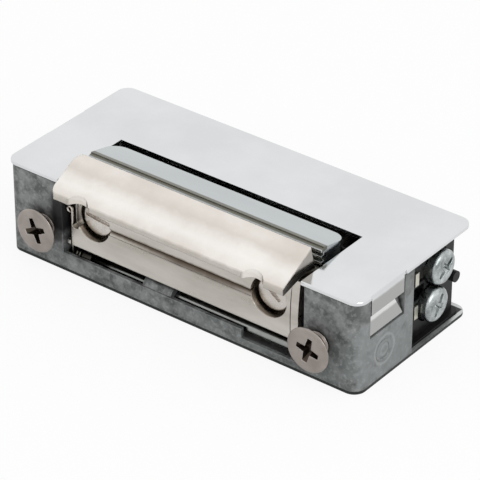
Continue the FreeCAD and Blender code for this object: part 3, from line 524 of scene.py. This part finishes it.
def makeScrew(name, look, body, spots):
    whole = bmesh.new()
    for spot in spots:
        bm = bmesh.new()
        recessedFace(bm, look)
        turnedBody(bm, look)
        bmesh.ops.remove_doubles(bm, verts=bm.verts, dist=mergeDistance)
        turn = Matrix.Rotation(math.radians(look["turn"]), 4, "Z")
        laid = Matrix.Translation(spot) @ facings[look["faces"]].to_4x4() @ turn
        bmesh.ops.transform(bm, matrix=laid, verts=bm.verts)
        single = bpy.data.meshes.new("single")
        bm.to_mesh(single)
        bm.free()
        whole.from_mesh(single)
        bpy.data.meshes.remove(single)
    newPiece(name + "_turned", whole, look["wear"], body, name)


def headCentre(node, faces):
    low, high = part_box(node)
    middle = (Vector(low) + Vector(high)) / 2
    if faces == "front":
        return Vector((middle.x, low[1], middle.z))
    return Vector((high[0], middle.y, middle.z))


# M4 countersunk screws of the faceplate, cross recess
fixingScrew = dict(faces="front", wear="nickelScrew", sides=48, ring=2.9, arms=(2.0, 2.15), root=0.58, tip=0.42,
                   sink=[(0.45, 0.9), (0.8, 0.6)], head=[(3.3, 0), (3.52, -0.05), (3.65, -0.18), (3.65, -0.3),
                   (2.0, -1.95)], thread=2.0, pitch=0.7, end=-9.0)
for node, turn in (("fixing_screw_left", 21), ("fixing_screw_right", -13)):
    makeScrew(node, dict(fixingScrew, turn=turn), "strike_body", [headCentre(node, "front")])

# clamp screws of the lip, in the counterbores of the keeper
clampScrew = dict(faces="front", wear="clampNickel", sides=48, ring=2.55, slotEnd=0.4, root=0.36, tip=0.32,
                  sink=[(0.45, 0.98)], head=[(2.66, 0), (2.76, -0.06), (2.8, -0.2), (2.8, -1.4), (1.5, -1.4)],
                  thread=1.5, pitch=0.5, rise=0.6)
for node, turn, reach in (("clamp_screw_left", -6, 2.35), ("clamp_screw_right", -38, 1.5)):
    low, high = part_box(node)
    rise = clampScrew["rise"]
    arms = (reach, clampScrew["slotEnd"])
    look = dict(clampScrew, turn=turn, arms=arms, end=(low[1] - high[1]) / mm - rise)
    makeScrew(node, look, "keeper", [headCentre(node, "front") - Vector((0, rise * mm, 0))])

# terminal screws with slot and cross
terminalScrew = dict(faces="right", wear="platedScrew", sides=48, ring=2.0, arms=(1.9, 1.35), root=0.46,
                     tip=0.34, sink=[(0.4, 0.9), (0.35, 0.5)],
                     head=[(2.2, -0.05), (2.5, -0.2), (2.72, -0.45), (2.8, -0.75), (2.8, -2.2), (1.45, -2.2)],
                     thread=1.45, pitch=0.5)
for node, turn in (("terminal_screw_lower", 62), ("terminal_screw_upper", 35)):
    low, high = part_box(node)
    look = dict(terminalScrew, turn=turn, end=(low[0] - high[0]) / mm)
    makeScrew(node, look, "strike_body", [headCentre(node, "right")])

# small countersunk screws under the base plate
baseScrew = dict(faces="down", wear="platedScrew", sides=36, ring=1.3, arms=(0.95, 0.95), root=0.28, tip=0.16,
                 sink=[(0.35, 0.85)], head=[(1.55, -0.02), (1.6, -0.08), (0.95, -0.65)], thread=0.95, pitch=0.4,
                 end=-3.3, turn=30)
baseScrewSpots = [(-29.5, -11.0), (29.5, -11.0), (-31.35, 10.5), (23.3, 10.5)]
low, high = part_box("base_screws")
makeScrew("base_screws", baseScrew, "strike_body",
          [Vector((x * mm, y * mm, low[2])) for x, y in baseScrewSpots])


# springs and pins: the node's own shape with its loose faces joined and shaded round
def smoothCopy(node, wear, body, kept="", cutAt=0):
    # kept names the end of the shape that stays, in front of or behind a cut across Y in millimetres
    bm = bmesh.new()
    bm.from_mesh(nodes[node].data)
    bmesh.ops.remove_doubles(bm, verts=bm.verts, dist=mergeDistance)
    if kept:
        cut = bmesh.ops.bisect_plane(bm, geom=bm.verts[:] + bm.edges[:] + bm.faces[:], dist=cutTolerance,
                                     plane_co=(0, cutAt * mm, 0), plane_no=(0, 1, 0), clear_outer=kept == "front",
                                     clear_inner=kept == "back")
        rim = [g for g in cut["geom_cut"] if isinstance(g, bmesh.types.BMEdge)]
        bmesh.ops.holes_fill(bm, edges=rim, sides=0)
    newPiece(node + "_round" + kept.title(), bm, wear, body, node, sharp=50)


# the keeper spring's foot stays on the base, its coil and leg turn with the keeper
footCut = -10.6
smoothCopy("keeper_spring", "springWire", "keeper", kept="front", cutAt=footCut)
smoothCopy("keeper_spring", "springWire", "strike_body", kept="back", cutAt=footCut)
smoothCopy("lever_spring", "springWire", "strike_body")
smoothCopy("armature_spring", "springWire", "strike_body")
smoothCopy("pivot_axle", "axleSteel", "strike_body")
print("screws, springs and axle made")


# floor, world and lamps
stageLook = {
    "floorSize": 6.0,
    "floorDrop": 0.05 * mm,
    "floorShade": 0.82,
    "floorRough": 0.9,
    "whiteShare": 0.88,
    "glossShare": 0.25,
    "sky": (0.92, 0.92, 0.92),
    "skyStrength": 1.0,
}


def makeFloor(look):
    bm = bmesh.new()
    bmesh.ops.create_grid(bm, x_segments=2, y_segments=2, size=look["floorSize"])
    mesh = bpy.data.meshes.new("floor")
    bm.to_mesh(mesh)
    bm.free()
    floor = bpy.data.objects.new("floor", mesh)
    floor.location.z = cadLow.z - look["floorDrop"]
    bpy.context.scene.collection.objects.link(floor)
    material = bpy.data.materials.new("floorWhite")
    material.use_nodes = True
    tree = material.node_tree
    shader = tree.nodes["Principled BSDF"]
    shader.inputs["Base Color"].default_value = (look["floorShade"],) * 3 + (1,)
    shader.inputs["Roughness"].default_value = look["floorRough"]
    glow = addNode(tree, "Emission")
    path = addNode(tree, "LightPath")
    share = addNode(tree, "Math", operation="MULTIPLY", use_clamp=True)
    tree.links.new(path.outputs["Is Camera Ray"], share.inputs[0])
    share.inputs[1].default_value = look["whiteShare"]
    shine = addNode(tree, "Math", operation="MULTIPLY_ADD", use_clamp=True)
    tree.links.new(path.outputs["Is Glossy Ray"], shine.inputs[0])
    shine.inputs[1].default_value = look["glossShare"]
    tree.links.new(share.outputs[0], shine.inputs[2])
    mix = addNode(tree, "MixShader")
    tree.links.new(shine.outputs[0], mix.inputs[0])
    tree.links.new(shader.outputs[0], mix.inputs[1])
    tree.links.new(glow.outputs[0], mix.inputs[2])
    tree.links.new(mix.outputs[0], tree.nodes["Material Output"].inputs["Surface"])
    mesh.materials.append(material)
    floor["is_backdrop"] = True


def makeWorld(look):
    world = bpy.data.worlds.new("studio")
    bpy.context.scene.world = world
    world.use_nodes = True
    tree = world.node_tree
    background = tree.nodes["Background"]
    path = addNode(tree, "LightPath")
    seen = addNode(tree, "Math", operation="MAXIMUM")
    tree.links.new(path.outputs["Is Camera Ray"], seen.inputs[0])
    tree.links.new(path.outputs["Is Glossy Ray"], seen.inputs[1])
    color = blendColor(tree, seen.outputs[0], look["sky"], (1, 1, 1))
    tree.links.new(color, background.inputs["Color"])
    background.inputs["Strength"].default_value = look["skyStrength"]


# one soft lamp to the right of the camera
keyLook = {
    "size": (0.5, 0.5),
    "power": 2.0,
    "spot": (0.6, -0.25, 0.5),
    "aim": (0, 0, 8 * mm),
}


def addLamp(name, look):
    spot = Vector(look["spot"])
    data = bpy.data.lights.new(name, "AREA")
    data.shape = "RECTANGLE"
    data.size, data.size_y = look["size"]
    data.energy = look["power"]
    lamp = bpy.data.objects.new(name, data)
    bpy.context.scene.collection.objects.link(lamp)
    lamp.location = spot
    lamp.rotation_mode = "QUATERNION"
    lamp.rotation_quaternion = (spot - Vector(look["aim"])).to_track_quat("Z", "Y")


makeFloor(stageLook)
makeWorld(stageLook)
addLamp("keyLamp", keyLook)
view = bpy.context.scene.view_settings
view.view_transform = "Standard"
print("stage set")

low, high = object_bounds()
